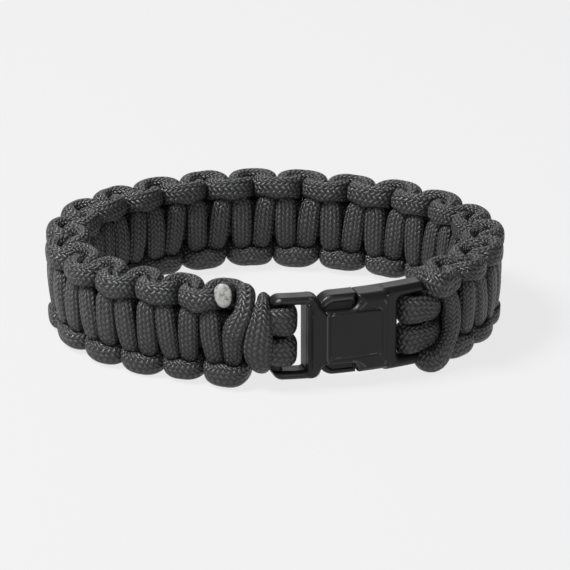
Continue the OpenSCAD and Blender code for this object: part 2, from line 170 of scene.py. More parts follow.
loop_angles = BUCKLE_ANGLE + np.arange(361.0)
loop_line = loop_point(loop_angles, 0)
loop_run = np.concatenate([[0], np.cumsum(np.linalg.norm(np.diff(loop_line, axis=0), axis=1))])
loop_length = loop_run[-1]
loop_outline = loop_point(loop_angles, HALF_T)
loop_middle = (loop_outline.min(0) + loop_outline.max(0)) / 2
weave_length = loop_length - BAR_SPAN - LEAD_IN - LEAD_OUT
LEGS = 2 * round((weave_length / KNOT_STEP + 1) / 2)
LAST_LEG = LEGS - 1
pitch = weave_length / LAST_LEG
socket_bar = -LEAD_IN
prong_bar = weave_length + LEAD_OUT

# Hand-tied knots don't sit quite evenly: the share of the weave, how far they are moved along
# there, and how far along they lean for each millimetre up
KNOTS = np.array([
    [-0.018, 0.0, 0.0],
    [0.010, -0.2, -0.06],
    [0.080, -0.8, -0.06],
    [0.230, -2.0, -0.06],
    [0.410, 0.0, -0.06],
    [0.670, 1.6, -0.06],
    [0.800, 3.6, -0.06],
    [0.870, 2.8, -0.06],
    [0.950, 1.1, -0.06],
    [1.000, 0.2, -0.03],
    [1.020, 0.0, 0.0],
])
# The lower edge is tied a little tighter: the share it draws in for each millimetre down. The
# skin side is drawn up a little for each millimetre inwards.
TAPER = 0.0009
SKIN_RISE = 0.05


def on_loop(places):
    """Places on the band, in millimetres, as points in the frame, in millimetres."""
    places = np.asarray(places, float)
    share = places[..., 0] / weave_length
    drift, lean = (np.interp(share, KNOTS[:, 0], KNOTS[:, k]) for k in (1, 2))
    run = (places[..., 0] + drift + lean * places[..., 1] + BAR_SPAN / 2 + LEAD_IN) % loop_length
    xy = loop_point(np.interp(run, loop_run, loop_angles), places[..., 2]) - loop_middle
    xy[..., 0] *= 1 - TAPER * (HALF_W - places[..., 1])
    height = places[..., 1:2] + HALF_W + SKIN_RISE * np.clip(HALF_T - places[..., 2:], 0, BAND_T)
    return np.concatenate([xy, height], -1)


# Each row below is a bead of a cord: along in half knots, across in half widths of the band and
# out in half thicknesses, then how far the soft cord spreads there, in the same shares.
WEAVE = np.array([
    [0.00, 0.00, 0.67, 0.48, 0.30, 0.325],
    [-0.10, 0.40, 0.61, 0.44, 0.27, 0.30],
    [-0.20, 0.60, 0.36, 0.32, 0.26, 0.36],
    [-0.24, 0.66, 0.00, 0.30, 0.26, 0.46],
    [-0.12, 0.69, -0.38, 0.34, 0.25, 0.40],
    [0.13, 0.70, -0.66, 0.42, 0.26, 0.33],
    [0.50, 0.685, -0.76, 0.50, 0.285, 0.29],
])
OUTER_START = [
    [-1.12, -0.32, -0.60, 0.24, 0.24, 0.26],
    [-0.86, -0.40, -0.92, 0.20, 0.19, 0.28],
    [-0.96, -0.72, -0.24, 0.30, 0.26, 0.40],
    [-1.16, -0.76, 0.62, 0.46, 0.24, 0.44],
    [-0.80, -0.71, 0.82, 0.38, 0.28, 0.38],
    [-0.32, -0.38, 0.80, 0.40, 0.28, 0.33],
]
INNER_START = [
    [-1.12, 0.32, -0.60, 0.24, 0.24, 0.26],
    [-0.86, 0.40, -0.92, 0.20, 0.19, 0.28],
    [-0.74, 0.69, -0.48, 0.20, 0.26, 0.40],
    [-0.80, 0.75, 0.14, 0.30, 0.25, 0.46],
    [-0.86, 0.75, 0.70, 0.44, 0.26, 0.36],
]
OUTER_SWELL = [
    [0.44, 0.76, 0.10, 0.38, 0.26, 0.46],
    [0.56, 0.52, 0.66, 0.42, 0.28, 0.36],
    [0.18, 0.20, 0.74, 0.46, 0.30, 0.33],
]
OUTER_END = [
    [-0.06, -0.44, 0.62, 0.38, 0.27, 0.30],
    [-0.14, -0.735, 0.25, 0.36, 0.27, 0.46],
    [-0.04, -0.75, -0.45, 0.36, 0.25, 0.38],
    [-0.06, -0.75, -0.98, 0.36, 0.25, 0.38],
]
INNER_END = [
    [-0.10, 0.44, -0.58, 0.38, 0.27, 0.30],
    [-0.25, 0.725, -0.02, 0.30, 0.275, 0.46],
    [-0.30, 0.84, 0.38, 0.34, 0.235, 0.38],
    [-0.32, 0.88, 0.74, 0.34, 0.235, 0.38],
]
CORE_START = [
    [-0.98, 0.26, 0.50, 0.30, 0.24, 0.26],
    [-0.55, 0.22, 0.10, 0.30, 0.20, 0.32],
]
CORE = [0.00, 0.20, 0.00, 0.30, 0.19, 0.32]
CORE_END = [
    [0.60, 0.22, 0.00, 0.30, 0.20, 0.30],
    [1.02, 0.26, 0.10, 0.30, 0.24, 0.29],
    [1.42, 0.27, 0.49, 0.30, 0.25, 0.28],
]
LARKS_HEAD = [
    [1.42, 0.32, -0.68, 0.26, 0.24, 0.28],
    [1.08, 0.47, -0.88, 0.20, 0.18, 0.28],
    [1.02, 0.57, -0.46, 0.18, 0.18, 0.38],
    [1.14, 0.58, 0.08, 0.22, 0.17, 0.46],
    [1.16, 0.50, 0.60, 0.38, 0.22, 0.34],
    [1.06, 0.28, 0.80, 0.52, 0.24, 0.33],
    [1.06, 0.00, 0.84, 0.56, 0.26, 0.32],
]
TO_MM = np.array([pitch, HALF_W, HALF_T] * 2)
QUARTER = len(WEAVE) - 1
LEG_BEADS = 2 * QUARTER
LAST_BEAD = LEG_BEADS * LAST_LEG

# The cord where it wraps a bar of the buckle, in millimetres. It lies flat on the bar there, and
# its fold stands a reach away from it.
BAR_D = 2.2
CORD_GAP = 0.16
WRAP_T = 1.9
WRAP_W = 6.2
WRAP_SPREAD = [1.15, WRAP_W / 2 + 0.25, WRAP_T / 2]
WRAP_R = BAR_D / 2 + CORD_GAP + WRAP_T / 2
WRAP_ACROSS = WRAP_W / 2 + CORD_GAP / 2
SOCKET_REACH = 3.7
PRONG_REACH = 2.9


def beads(rows, leg=0):
    rows = np.array(rows, float).reshape(-1, 6)
    rows[:, 0] += leg
    return rows * TO_MM


def weave_beads(first, last, layer):
    """Beads first to last of a weaving cord, counted from its first leg. Its layer is 1 where
    its legs lie outside and -1 where they lie against the skin."""
    out = []
    for n in range(first, last + 1):
        leg, step = divmod(n, LEG_BEADS)
        row = WEAVE[min(step, LEG_BEADS - step)].copy()
        row[0] = leg + 1 - row[0] if step > QUARTER else leg + row[0]
        row[1] *= layer * (1 if leg % 2 == 0 else -1)
        row[2] *= layer
        out.append(row * TO_MM)
    return np.array(out)


def wrap_beads(bar, towards, reach):
    """A cord's way round a bar of the buckle, from the outside to the skin side."""
    return np.array([
        [bar - towards * reach * math.cos(t), WRAP_ACROSS, WRAP_R * math.sin(t), *WRAP_SPREAD]
        for t in np.radians(np.arange(90, 271, 30))
    ])


def lead_beads(up, rows):
    """A weaving cord's way from the socket's bar to the weave."""
    start = [socket_bar, up * WRAP_ACROSS, -WRAP_R, WRAP_T / 2, WRAP_W / 2, WRAP_T / 2]
    return np.vstack([[start], beads(rows)])


outer_beads = np.vstack([
    lead_beads(-1, OUTER_START), weave_beads(0, LAST_BEAD - 1 - len(OUTER_SWELL), 1),
    beads(OUTER_SWELL, LAST_LEG), weave_beads(LAST_BEAD, LAST_BEAD, 1), beads(OUTER_END, LAST_LEG),
])
inner_beads = np.vstack([
    lead_beads(1, INNER_START), weave_beads(-QUARTER, LAST_BEAD, -1), beads(INNER_END, LAST_LEG),
])
half_core = np.vstack([
    wrap_beads(socket_bar, -1, SOCKET_REACH)[::-1], beads(CORE_START),
    np.vstack([beads(CORE, leg) for leg in range(LEGS)]), beads(CORE_END, LAST_LEG),
    wrap_beads(prong_bar, 1, PRONG_REACH), beads(LARKS_HEAD, LAST_LEG),
])
MIRRORED = [1, -1, 1, 1, 1, 1]
core_beads = np.vstack([half_core, half_core[-2::-1] * MIRRORED])

# The lark's head sits a little high on the prong's bar
HEAD_RISE = 0.7
HEAD_REACH = 4
core_beads[:, 1] += HEAD_RISE * np.exp(-((core_beads[:, 0] - prong_bar) / HEAD_REACH) ** 2)

# The last turn at the lower edge has no knot after it, so it hangs out past the others: where it
# is and how far it reaches, in half knots, and how far it moves along, up and out
LOOSE_PLACE = 0.3
LOOSE_REACH = 0.7
LOOSE_MOVE = [0.5, -0.05, 0.9]
from_loose = inner_beads[:, 0] / pitch - LAST_LEG + LOOSE_PLACE
loose = np.exp(-(from_loose / LOOSE_REACH) ** 2) * np.clip(-2 * inner_beads[:, 1] / HALF_W, 0, 1)
inner_beads[:, :3] += loose[:, None] * LOOSE_MOVE

# How far a knot strays from the pattern, in millimetres, and how much a leg's thickness varies,
# because it is tied by hand. Both ends of a cord are held.
HAND = np.array([0.16, 0.10, 0.08])
SWELLING = 0.03
hand = np.random.default_rng(7)
for rows in (outer_beads, inner_beads):
    stray = hand.normal(size=(len(rows), 3))
    stray = sum(np.roll(stray, k, 0) for k in range(-2, 3)) / math.sqrt(5)
    from_end = np.minimum(np.arange(len(rows)), np.arange(len(rows))[::-1])
    rows[:, :3] += stray * HAND * np.clip(from_end / LEG_BEADS, 0, 1)[:, None]
    swell = np.repeat(hand.normal(1, SWELLING, size=len(rows) // LEG_BEADS + 1), LEG_BEADS)
    rows[:, 3:] *= swell[:len(rows), None]

# Along a cord a ring stands every RING_STEP millimetres, and each ring has SIDES points
RING_STEP = 0.42
SIDES = 32
SPLINE_STEPS = 10


def smooth_path(rows):
    """Runs a smooth line through a cord's beads, and places rings on it at even steps."""
    ends = np.vstack([2 * rows[0] - rows[1], rows, 2 * rows[-1] - rows[-2]])
    t = np.linspace(0, 1, SPLINE_STEPS, endpoint=False)[:, None, None]
    a, b, c, d = ends[:-3], ends[1:-2], ends[2:-1], ends[3:]
    squared = 2 * a - 5 * b + 4 * c - d
    cubed = 3 * b - a - 3 * c + d
    line = 0.5 * (2 * b + (c - a) * t + squared * t ** 2 + cubed * t ** 3)
    line = np.vstack([line.transpose(1, 0, 2).reshape(-1, 6), rows[-1:]])
    run = np.concatenate([[0], np.cumsum(np.linalg.norm(np.diff(line[:, :3], axis=0), axis=1))])
    even = np.linspace(0, run[-1], round(run[-1] / RING_STEP) + 1)
    return np.stack([np.interp(even, run, line[:, k]) for k in range(6)], 1), even


def turned_along(path):
    """Directions square to the path that turn with it and never round it."""
    course = np.gradient(path, axis=0)
    course /= np.linalg.norm(course, axis=1)[:, None]
    side = np.empty_like(course)
    now = np.array([0, 0, 1.0])
    for i, way in enumerate(course):
        now = now - way * now.dot(way)
        now /= np.linalg.norm(now)
        side[i] = now
    return side, np.cross(course, side)


def blur(values, reach, axis, wrap):
    """Smooths values along one axis, with the weights of a bell curve."""
    size = int(3 * reach) + 1
    weights = np.exp(-0.5 * (np.arange(-size, size + 1) / reach) ** 2)
    weights /= weights.sum()
    margin = [(size, size) if k == axis else (0, 0) for k in (0, 1)]
    padded = np.pad(values, margin, mode="wrap" if wrap else "edge")
    n = values.shape[axis]
    return sum(w * np.take(padded, range(k, k + n), axis) for k, w in enumerate(weights))


cords = {}
for name, rows in (("outer", outer_beads), ("inner", inner_beads), ("core", core_beads)):
    path, run = smooth_path(rows)
    side, up = turned_along(path[:, :3])
    turns = np.linspace(0, 2 * np.pi, SIDES, endpoint=False)
    ways = np.cos(turns)[None, :, None] * side[:, None] + np.sin(turns)[None, :, None] * up[:, None]
    cords[name] = {"path": path, "run": run, "ways": ways}

# The knots squeeze the soft cords. Freely, a cord would be a blunt oval, wider along the band
# than its bead by SOFT. It gives way half way to every cord near it, except to itself within
# SEPARATE millimetres, and the core not at all to itself.
SOFT = 1.14
BLUNT = 2.6
SEPARATE = 5.0
NEARBY = 8
FAR_AWAY = 99.0
PRESS = 12.0
PRESSED_IN = 0.03
BLUR_ALONG = 1.6
BLUR_ROUND = 1.2
RINGS_AT_ONCE = 120
CORE_PLACE = list(cords).index("core")
everywhere = np.vstack([c["path"][:, :3] for c in cords.values()])
whose = np.concatenate([np.full(len(c["path"]), k) for k, c in enumerate(cords.values())])
whens = np.concatenate([c["run"] for c in cords.values()])
for k, cord in enumerate(cords.values()):
    path, run, ways = cord["path"], cord["run"], cord["ways"]
    shares = abs(ways / (path[:, None, 3:] * [SOFT, 1, 1]))
    free = 1 / (shares ** BLUNT).sum(2) ** (1 / BLUNT)
    room = np.full(free.shape, FAR_AWAY)
    for start in range(0, len(path), RINGS_AT_ONCE):
        part = slice(start, start + RINGS_AT_ONCE)
        low, high = path[part, 0].min() - NEARBY, path[part, 0].max() + NEARBY
        near = np.flatnonzero((everywhere[:, 0] > low) & (everywhere[:, 0] < high))
        gap = everywhere[near][None] - path[part, None, :3]
        far = (gap ** 2).sum(2)
        close = abs(whens[near][None] - run[part, None]) < SEPARATE
        own = (whose[near][None] == k) & (close | (k == CORE_PLACE))
        far[own] = np.inf
        gap[own] = 0
        ahead = np.einsum("skj,smj->skm", ways[part], gap)
        with np.errstate(divide="ignore", invalid="ignore"):
            reach = np.where(ahead > 1e-6, far[:, None, :] / (2 * ahead), np.inf)
        room[part] = np.minimum(room[part], reach.min(2))
    squeezed = (free ** -PRESS + room ** -PRESS) ** (-1 / PRESS)
    squeezed = blur(blur(squeezed, BLUR_ALONG, 0, False), BLUR_ROUND, 1, True)
    cord["reach"] = np.minimum(squeezed, room + PRESSED_IN)


def show(name, points, faces, material, body="root"):
    """Makes a piece from its points, in millimetres, and its faces, and lets it ride on a body."""
    mesh = bpy.data.meshes.new(name)
    mesh.from_pydata((np.asarray(points) * MM).tolist(), [], [list(map(int, f)) for f in faces])
    mesh.polygons.foreach_set("use_smooth", [True] * len(mesh.polygons))
    mesh.materials.append(material)
    piece = bpy.data.objects.new(name, mesh)
    bpy.context.collection.objects.link(piece)
    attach(piece, body)
    return piece


MAP_BLUR = 9


def cord_skin(name, cord, material):
    """The sheath of a cord. Its points are moved round to stand at even distances, so that the
    braid isn't stretched, and its map holds the distance along and the share round."""
    points = cord["path"][:, None, :3] + cord["ways"] * cord["reach"][..., None]
    closed = np.concatenate([points, points[:, :1]], 1)
    steps = np.linalg.norm(np.diff(closed, axis=1), axis=2)
    share = np.concatenate([np.zeros((len(points), 1)), np.cumsum(steps, 1)], 1)
    share /= share[:, -1:]
    even = np.arange(SIDES) / SIDES
    rings = [[np.interp(even, s, p[:, k]) for k in range(3)] for s, p in zip(share, closed)]
    points = np.stack(rings).transpose(0, 2, 1)
    first = np.arange(len(points) - 1)[:, None] * SIDES
    a = first + np.arange(SIDES)[None]
    b = first + (np.arange(SIDES)[None] + 1) % SIDES
    faces = np.stack([a, b, b + SIDES, a + SIDES], -1).reshape(-1, 4)
    piece = show(name, on_loop(points).reshape(-1, 3), faces, material)
    # Round the outside of a bend the sheath is longer than the path, so the map is too
    longer = np.linalg.norm(np.diff(points, axis=0), axis=2) - np.diff(cord["run"])[:, None]
    longer = np.vstack([np.zeros(SIDES), np.cumsum(longer, 0)])
    along = cord["run"][:, None] + longer - blur(longer, MAP_BLUR, 0, False)
    beside = np.roll(along, -1, 1)
    u = np.stack([along[:-1], beside[:-1], beside[1:], along[1:]], -1)
    v = np.stack([even, even + 1 / SIDES, even + 1 / SIDES, even], -1)[None] + 0 * u
    braid_map = piece.data.uv_layers.new(name="braid")
    braid_map.data.foreach_set("uv", np.stack([u, v], -1).ravel())
    return piece


# The sheath of the cord: nylon yarns braided two over two, which shows as rows of short
# slanted stitches. Each yarn's crown catches the light. The scales are in millimetres, since the
# map holds millimetres along the cord; its fibres are drawn coarser than real ones, to show.
CARRIERS = 26
BRAID_ANGLE = 46.0
CORD_ROUND = 12.6
YARN_RELIEF = 0.34
YARN_ROUNDNESS = 3.6
FLOAT_SHARPNESS = 2.6
FIBRES_PER_MM = 3.0
FIBRE_SHARE = 0.25
DYE_LEAST = 0.75
DYE_SPREAD = 0.4
yarn_step = CORD_ROUND / (CARRIERS / 2) / math.tan(math.radians(BRAID_ANGLE))

nylon = new_material("braided_nylon_sheath")
map_node = add(nylon, "ShaderNodeUVMap", uv_map="braid")
parts = add(nylon, "ShaderNodeSeparateXYZ", {0: map_node.outputs[0]})
along = add(nylon, "ShaderNodeMath", {0: parts.outputs[0]}, operation="DIVIDE", _1=yarn_step)
around = add(nylon, "ShaderNodeMath", {0: parts.outputs[1]}, operation="MULTIPLY", _1=CARRIERS / 2)
right = add(nylon, "ShaderNodeMath", {0: around.outputs[0], 1: along.outputs[0]}, operation="ADD")
left = add(nylon, "ShaderNodeMath", {0: around.outputs[0], 1: along.outputs[0]}, operation="SUBTRACT")

# The height of the yarns that run one way, then the other: round across, arched where they float
heights = []
yarn_numbers = []
for lengthwise, crosswise, centre in ((right, left, 1.0), (left, right, 3.0)):
    share = add(nylon, "ShaderNodeMath", {0: crosswise.outputs[0]}, operation="FRACT")
    across = add(nylon, "ShaderNodeMath", {0: share.outputs[0]}, operation="SUBTRACT", _1=0.5)
    square = add(
        nylon, "ShaderNodeMath", {0: across.outputs[0], 1: across.outputs[0]}, operation="MULTIPLY",
    )
    drop = add(nylon, "ShaderNodeMath", {0: square.outputs[0]}, operation="MULTIPLY", _1=YARN_ROUNDNESS)
    rest = add(nylon, "ShaderNodeMath", {1: drop.outputs[0]}, operation="SUBTRACT", _0=1.0)
    rounded = add(nylon, "ShaderNodeMath", {0: rest.outputs[0]}, operation="SQRT")
    number = add(nylon, "ShaderNodeMath", {0: crosswise.outputs[0]}, operation="FLOOR")
    step = add(
        nylon, "ShaderNodeMath", {0: lengthwise.outputs[0], 1: number.outputs[0]}, operation="ADD",
    )
    place = add(nylon, "ShaderNodeMath", {0: step.outputs[0]}, operation="SUBTRACT", _1=centre)
    turn = add(nylon, "ShaderNodeMath", {0: place.outputs[0]}, operation="MULTIPLY", _1=math.pi / 2)
    wave = add(nylon, "ShaderNodeMath", {0: turn.outputs[0]}, operation="COSINE")
    arch = add(nylon, "ShaderNodeMath", {0: wave.outputs[0]}, operation="MULTIPLY_ADD", _1=0.5, _2=0.5)
    crest = add(nylon, "ShaderNodeMath", {0: arch.outputs[0]}, operation="POWER", _1=FLOAT_SHARPNESS)
    height = add(
        nylon, "ShaderNodeMath", {0: rounded.outputs[0], 1: crest.outputs[0]}, operation="MULTIPLY",
    )
    heights.append(height.outputs[0])
    yarn_numbers.append(number.outputs[0])
height = add(nylon, "ShaderNodeMath", {0: heights[0], 1: heights[1]}, operation="MAXIMUM")
fibre = add(nylon, "ShaderNodeTexNoise", {0: map_node.outputs[0]}, Scale=FIBRES_PER_MM, Detail=3.0)
lift = add(
    nylon, "ShaderNodeMath", {0: fibre.outputs[0], 2: height.outputs[0]}, operation="MULTIPLY_ADD",
    _1=FIBRE_SHARE,
)
bump = add(nylon, "ShaderNodeBump", {"Height": lift.outputs[0]}, Strength=1.0, Distance=YARN_RELIEF * MM)

# No two stitches are quite as dark, and each yarn's sheen lies across its own course
stitch = add(nylon, "ShaderNodeCombineXYZ", {0: yarn_numbers[1], 1: yarn_numbers[0]})
chance = add(nylon, "ShaderNodeTexWhiteNoise", {0: stitch.outputs[0]}, noise_dimensions="2D")
dye = add(
    nylon, "ShaderNodeMath", {0: chance.outputs[0]}, operation="MULTIPLY_ADD",
    _1=DYE_SPREAD, _2=DYE_LEAST,
)
# The yarns' colour is painted darker down in the crevices between them and paler on their crowns, which
# is painted shade, scaled by each stitch's random dye tone
crevice_shade_and_dye = add(nylon, "ShaderNodeMath", {0: height.outputs[0], 1: dye.outputs[0]}, operation="MULTIPLY")
yarn_colour_with_painted_shade = add(nylon, "ShaderNodeValToRGB", {0: crevice_shade_and_dye.outputs[0]})
yarn_colour_with_painted_shade.color_ramp.elements[0].position = 0.2
yarn_colour_with_painted_shade.color_ramp.elements[0].color = colour("#141415")
yarn_colour_with_painted_shade.color_ramp.elements[1].position = 1.0
yarn_colour_with_painted_shade.color_ramp.elements[1].color = colour("#3e3e40")
which = add(nylon, "ShaderNodeMath", {0: heights[0], 1: heights[1]}, operation="GREATER_THAN")
slant = add(
    nylon, "ShaderNodeMath", {0: which.outputs[0]}, operation="MULTIPLY_ADD",
    _1=2 * BRAID_ANGLE / 360, _2=0.25 - BRAID_ANGLE / 360,
)
course = add(nylon, "ShaderNodeTangent", direction_type="UV_MAP", uv_map="braid")
shader = add(
    nylon, "ShaderNodeBsdfPrincipled",
    {"Base Color": yarn_colour_with_painted_shade.outputs[0], "Normal": bump.outputs[0], "Tangent": course.outputs[0],
     "Anisotropic Rotation": slant.outputs[0]},
    Roughness=0.42, IOR=1.53, Anisotropic=0.8,
)
add(nylon, "ShaderNodeOutputMaterial", {0: shader.outputs[0]})

# Where a cord is cut, its end is melted with a lighter and pressed flat, so its nylon is a hard
# blob: pale and mottled where the core strands, about 0.8 mm thick, show in it. Each row of the
# dome says how wide a ring is and how far it stands out.
DOME = ((0.97, -0.3), (0.97, 0.1), (0.88, 0.3), (0.6, 0.42), (0.25, 0.46))
DOME_TOP = 0.47
STRANDS_PER_MM = 1.3
BLOB_RELIEF = 0.15
melted_nylon = new_material("melted_nylon_end")
places = add(melted_nylon, "ShaderNodeTexCoord")
strands = add(
    melted_nylon, "ShaderNodeTexNoise", {0: places.outputs["Object"]},
    Scale=STRANDS_PER_MM / MM, Detail=4.0, Roughness=0.7,
)
burn = add(melted_nylon, "ShaderNodeValToRGB", {0: strands.outputs[0]})
burn.color_ramp.elements[0].position = 0.32
burn.color_ramp.elements[0].color = colour("#454544")
burn.color_ramp.elements[1].position = 0.52
burn.color_ramp.elements[1].color = colour("#9c9c9a")
bump = add(
    melted_nylon, "ShaderNodeBump", {"Height": strands.outputs[0]},
    Strength=0.6, Distance=BLOB_RELIEF * MM,
)
shader = add(
    melted_nylon, "ShaderNodeBsdfPrincipled", {"Base Color": burn.outputs[0], "Normal": bump.outputs[0]},
    Roughness=0.45, IOR=1.53,
)
add(melted_nylon, "ShaderNodeOutputMaterial", {0: shader.outputs[0]})


def melted_end(name, cord):
    """A flat dome over the last ring of a cord."""
    middle = cord["path"][-1, :3]
    course = middle - cord["path"][-2, :3]
    course /= np.linalg.norm(course)
    rim = cord["ways"][-1] * cord["reach"][-1][:, None]
    rings = [middle + rim * wide + course * out for wide, out in DOME]
    points = np.vstack(rings + [middle + course * DOME_TOP])
    side = np.arange(SIDES)
    beside = np.roll(side, -1)
    quads = [
        [k * SIDES + a, k * SIDES + b, (k + 1) * SIDES + b, (k + 1) * SIDES + a]
        for k in range(len(DOME) - 1) for a, b in zip(side, beside)
    ]
    last = (len(DOME) - 1) * SIDES
    tip = [[last + a, last + b, len(points) - 1] for a, b in zip(side, beside)]
    piece = show(name, on_loop(points), quads + tip, melted_nylon)


melted_end("inner_cord_melted_end", cords["inner"])
melted_end("outer_cord_melted_end", cords["outer"])

outer_cord = cord_skin("outer_weave_cord_sheath", cords["outer"], nylon)
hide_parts("outer_weave_cord")
inner_cord = cord_skin("inner_weave_cord_sheath", cords["inner"], nylon)
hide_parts("inner_weave_cord")
core_cord = cord_skin("core_cord_sheath", cords["core"], nylon)
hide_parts("core_cord")

# The side-release buckle: black acetal, injection moulded in two halves and curved like the
# wrist. Its edges are softly rounded and painted a little paler, a painted highlight, and the
# mould's spark grain makes every face satin. The grain is drawn some 0.4 mm wide, coarser than
# the real one, to show.
GRAINS_PER_MM = 2.6
SINKS_PER_MM = 0.24
GRAIN_RELIEF = 0.04
acetal = new_material("moulded_black_acetal")
places = add(acetal, "ShaderNodeTexCoord")
grain = add(
    acetal, "ShaderNodeTexNoise", {0: places.outputs["Object"]}, Scale=GRAINS_PER_MM / MM, Detail=3.0,
)
sink = add(
    acetal, "ShaderNodeTexNoise", {0: places.outputs["Object"]}, Scale=SINKS_PER_MM / MM, Detail=1.0,
)
relief = add(acetal, "ShaderNodeMath", {0: grain.outputs[0], 1: sink.outputs[0]}, operation="ADD")
bump = add(
    acetal, "ShaderNodeBump", {"Height": relief.outputs[0]}, Strength=0.35, Distance=GRAIN_RELIEF * MM,
)
edges = add(acetal, "ShaderNodeNewGeometry")
# Convex edges are painted paler than the faces: a painted highlight along every rim
painted_edge_highlight = add(acetal, "ShaderNodeValToRGB", {0: edges.outputs["Pointiness"]})
painted_edge_highlight.color_ramp.elements[0].position = 0.52
painted_edge_highlight.color_ramp.elements[0].color = colour("#0b0b0c")
painted_edge_highlight.color_ramp.elements[1].position = 0.62
painted_edge_highlight.color_ramp.elements[1].color = colour("#3e3e40")
polish = add(acetal, "ShaderNodeMapRange", {0: sink.outputs[0]}, To_Min=0.36, To_Max=0.5)
shader = add(
    acetal, "ShaderNodeBsdfPrincipled",
    {"Base Color": painted_edge_highlight.outputs[0], "Normal": bump.outputs[0], "Roughness": polish.outputs[0]}, IOR=1.48,
    Specular_IOR_Level=0.37,
)
add(acetal, "ShaderNodeOutputMaterial", {0: shader.outputs[0]})

# Both halves are drawn in the buckle's own places: along its chord from the middle towards the
# socket, outwards from the middle of its thickness, and up from its mid height, in millimetres
BUCKLE_R = 66.0
BUCKLE_RISE = 0.2
BODY_T = 6.6
FRAME_T = 4.6
FRAME_H = 16.6
HOUSING_H = 16.2
WAIST_H = 11.2
SLOT_H = 13.8
SLOT_W = 4.4
RIM = 1.4
MOUTH = -5.8
WINDOW_END = 0.9
FRAME_ROUND = 1.2
EDGE_ROUND = 0.22
SIDE_ROUND = 1.5
SIDE_START = 4.6
SIDE_SPAN = 3
PAST_ENDS = 30
PAST_MOUTH = -9
PAST_WINDOW = 4
prong_end, socket_end = on_loop([[prong_bar, 0, 0], [socket_bar, 0, 0]])
chord = (socket_end - prong_end)[:2]
bar_x = np.linalg.norm(chord) / 2
chord /= 2 * bar_x
slot_edge = bar_x - BAR_D / 2 - SLOT_W
frame_end = bar_x + BAR_D / 2
housing_end = slot_edge - RIM
cavity_end = housing_end - RIM
curve_y = -math.sqrt(BUCKLE_R ** 2 - bar_x ** 2)
curve_middle = (socket_end + prong_end)[:2] / 2 + curve_y * np.array([chord[1], -chord[0]])


def in_buckle(places):
    """Places in the buckle as points in the frame, in millimetres."""
    x, out, up = places.T
    y = -np.sqrt((BUCKLE_R + out) ** 2 - x ** 2)
    return np.stack([
        curve_middle[0] + x * chord[0] - y * chord[1], curve_middle[1] + x * chord[1] + y * chord[0],
        up + HALF_W + BUCKLE_RISE,
    ], 1)


# Distances to forms: below nought inside a form, above nought outside it. What is in both of two
# forms has an edge rounded by r, and forms are merged, or one is cut from the other, with r too.
def corner(a, b, r):
    return np.minimum(np.maximum(a, b) + r, 0) + np.hypot(np.maximum(a + r, 0), np.maximum(b + r, 0)) - r


def block(x, up, start, end, height, r):
    return corner(abs(x - (start + end) / 2) - (end - start) / 2, abs(up) - height / 2, r)


def merged(a, b, r):
    share = np.clip(0.5 + 0.5 * (b - a) / r, 0, 1)
    return b * (1 - share) + a * share - r * share * (1 - share)


def without(a, b, r=0.02):
    return -merged(-a, b, r)


def edge_radius(high):
    """The buckle's faces meet its upper and lower sides in a wide curve, and its ends in a tight
    one."""
    return EDGE_ROUND + SIDE_ROUND * np.clip((high - SIDE_START) / SIDE_SPAN, 0, 1)


# The half with the prong: a frame with a slot and a bar, a thick body with shoulders and a rib
# beside the slot, two sprung arms with dished finger pads, and a spine between them
PRONG_FRAME_H = FRAME_H + 0.65
PRONG_FRAME_DROP = 0.1
SHOULDER_END = MOUTH - 0.45
NECK_END = MOUTH - 0.06
PRONG_BAR_H = SLOT_H + 1.0
BODY_START = 0.75
BODY_SHY = 0.05
BODY_STEP = 0.3
BODY_STEP_UP = 6
RIB = (0.02, 0.62)
RIB_H = SLOT_H + 0.5
RIB_RISE = 0.3
PAD_START = MOUTH - 1
PAD_H = HOUSING_H + 0.54
PAD_RISE = 0.22
PAD_SINK = 1.2
PAD_GAP = 0.15
DISH_START = MOUTH + 0.1
DISH_H = HOUSING_H - 2.0
DISH_FLOOR = 1.6
DISH_FOOT = 0.4
DISH_SIDE = 0.8
ARM_T = 1.6
ARM_SINK = 0.65
ARM_START = -7
arm_end = cavity_end - 1
SPINE_MIDDLE = -1
SPINE_HALF = 5.2
INSIDE_HALF_T = 1.75


